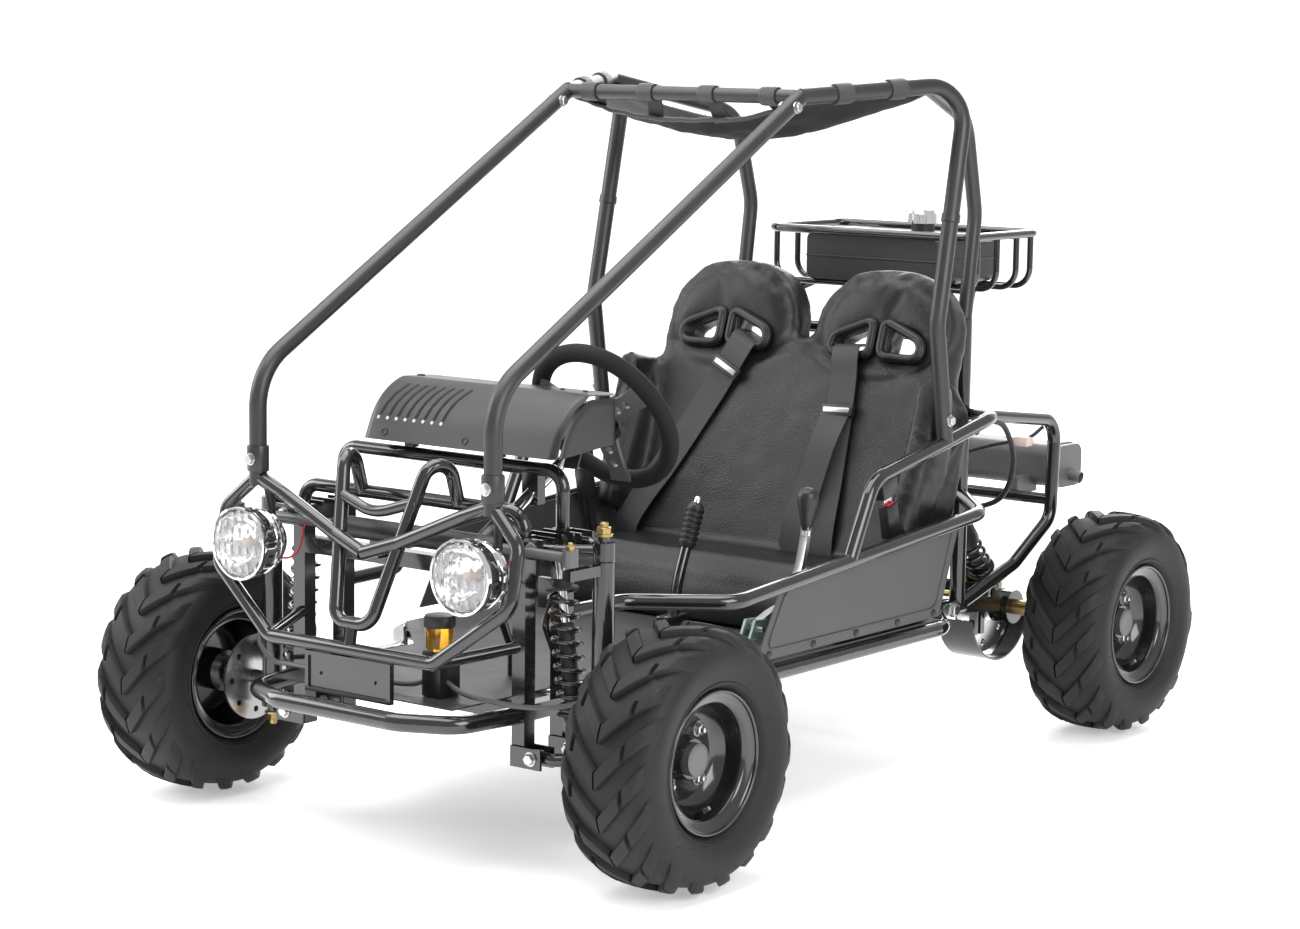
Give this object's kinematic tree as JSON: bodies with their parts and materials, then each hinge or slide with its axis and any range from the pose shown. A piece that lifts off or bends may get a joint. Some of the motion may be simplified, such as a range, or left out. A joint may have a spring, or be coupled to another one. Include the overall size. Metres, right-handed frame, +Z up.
{
  "type": "off-road buggy",
  "caption": "Open two-seat off-road buggy with a bent-tube roll cage, double bucket seat, chevron-lugged tyres, steered front wheels and a driven rear axle.",
  "frame": {"origin": "on the ground, at the middle of the whole buggy's length and width", "axes": "+Z up, -Y the way the buggy drives, +X its left side"},
  "size_m": [1.01, 1.6054, 1.0507],
  "materials": {
    "frame_black": "gloss black",
    "cage_grey": "satin dark grey",
    "panel_grey": "satin grey",
    "canopy_cloth": "woven cloth",
    "seat_vinyl": "grained vinyl",
    "belt_webbing": "woven webbing",
    "plastic_black": "satin",
    "lamp_metal": "bright rim, dark bowl",
    "lamp_glass": "fluted, clear",
    "reservoir_amber": "translucent",
    "damper_steel": "black coil",
    "steel": "zinc plated",
    "disc_steel": "ground",
    "engine_alloy": "cast",
    "cap_chrome": "bright",
    "grip_foam": "foam grip",
    "tyre_rubber": "knobbly"
  },
  "bodies": {
    "chassis": {"belts": "belt_webbing", "brake_reservoir": "reservoir_amber", "bull_bar": "frame_black", "bumper": "frame_black", "cage_post_left": "cage_grey", "cage_post_right": "cage_grey", "canopy": "canopy_cloth", "dash_cowl": "plastic_black", "dash_hoops": "frame_black", "engine": "engine_alloy", "floor_pan": "frame_black", "front_dampers": "damper_steel", "front_frame": "frame_black", "fuel_cap": "cap_chrome", "fuel_tank": "plastic_black", "gear_lever": "steel", "handbrake": "plastic_black", "headlamp_lenses": "lamp_glass", "headlamps": "lamp_metal", "lower_frame": "frame_black", "muffler": "frame_black", "pedals": "frame_black", "plate_holder": "frame_black", "rack_housing": "steel", "rear_dampers": "damper_steel", "rear_frame": "frame_black", "rear_rack": "frame_black", "rear_stays": "cage_grey", "roof_cage": "cage_grey", "seat": "seat_vinyl", "seat_bezels": "plastic_black", "side_panels": "panel_grey", "side_rail_left": "frame_black", "side_rail_right": "frame_black", "swing_arm": "frame_black", "wishbones_left": "frame_black", "wishbones_right": "frame_black"},
    "steering": {"steering_wheel": "grip_foam", "steering_column": "steel"},
    "rack": {"steering_rack": "steel"},
    "knuckle_left": {"knuckle_left": "steel"},
    "knuckle_right": {"knuckle_right": "steel"},
    "wheel_front_left": {"rim_front_left": "frame_black", "tyre_front_left": "tyre_rubber", "disc_front_left": "disc_steel"},
    "wheel_front_right": {"rim_front_right": "frame_black", "tyre_front_right": "tyre_rubber", "disc_front_right": "disc_steel"},
    "axle": {"rear_axle": "steel", "rear_disc": "disc_steel", "rim_rear_left": "frame_black", "rim_rear_right": "frame_black", "tyre_rear_left": "tyre_rubber", "tyre_rear_right": "tyre_rubber"}
  },
  "joints": [
    {"name": "steering_turn", "type": "hinge", "parent": "chassis", "child": "steering", "pos_m": [0.15, -0.407, 0.583], "axis": [0, 0.866, 0.5], "range_deg": [-75, 75]},
    {"name": "rack_slide", "type": "slide", "parent": "chassis", "child": "rack", "axis": [1, 0, 0], "range_m": [-0.0246, 0.0246]},
    {"name": "knuckle_turn_left", "type": "hinge", "parent": "chassis", "child": "knuckle_left", "pos_m": [0.305, -0.6, 0.3], "axis": [0, 0, 1], "range_deg": [-20, 20]},
    {"name": "wheel_spin_front_left", "type": "hinge", "parent": "knuckle_left", "child": "wheel_front_left", "pos_m": [0.432, -0.6, 0.178], "axis": [1, 0, 0], "continuous": true},
    {"name": "knuckle_turn_right", "type": "hinge", "parent": "chassis", "child": "knuckle_right", "pos_m": [-0.305, -0.6, 0.3], "axis": [0, 0, 1], "range_deg": [-20, 20]},
    {"name": "wheel_spin_front_right", "type": "hinge", "parent": "knuckle_right", "child": "wheel_front_right", "pos_m": [-0.432, -0.6, 0.178], "axis": [1, 0, 0], "continuous": true},
    {"name": "axle_spin", "type": "hinge", "parent": "chassis", "child": "axle", "pos_m": [0, 0.625, 0.178], "axis": [1, 0, 0], "continuous": true}
  ],
  "couplings": [
    {"joint": "rack_slide", "follows": "steering_turn", "m_per_rad": 0.018662},
    {"joint": "knuckle_turn_left", "follows": "steering_turn", "ratio": 0.2666},
    {"joint": "knuckle_turn_right", "follows": "steering_turn", "ratio": 0.2666}
  ]
}
